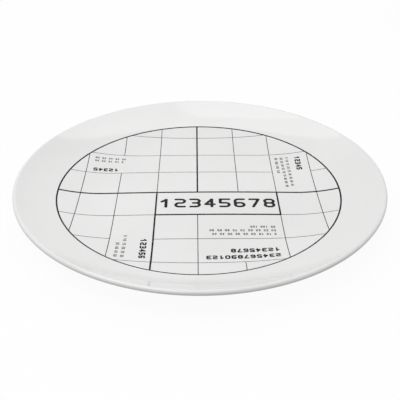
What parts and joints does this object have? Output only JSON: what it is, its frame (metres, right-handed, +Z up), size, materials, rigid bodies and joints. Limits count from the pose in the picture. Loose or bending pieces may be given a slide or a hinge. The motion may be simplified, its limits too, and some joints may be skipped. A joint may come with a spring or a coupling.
{
  "type": "coupe plate",
  "caption": "Round shallow coupe plate in white glazed porcelain on a low bare foot ring, with a printed ring, grid and plain numerals on the well.",
  "frame": {"origin": "centre of the foot ring's resting plane", "axes": "+Z up, out of the dish; +X to the right and +Y to the rear when the large numerals are read upright"},
  "size_m": [0.26, 0.26, 0.0214],
  "materials": {
    "porcelain": "unglazed fired porcelain, fine matt grain, seen on the foot ring",
    "glaze": "smooth glossy white glaze",
    "ink": "near-black fired print, glossy under the glaze"
  },
  "bodies": {
    "root": {"porcelain_body": "porcelain", "glaze_coat": "glaze", "glaze_foot_well": "glaze", "border_ring": "ink", "zone_lines": "ink", "grid_lines": "ink", "scale_numerals": "ink", "rear_left_heading": "ink", "rear_left_notes": "ink", "rear_right_heading": "ink", "rear_right_notes": "ink", "front_left_heading": "ink", "front_left_notes": "ink", "front_right_heading": "ink", "front_right_notes": "ink"}
  },
  "joints": []
}
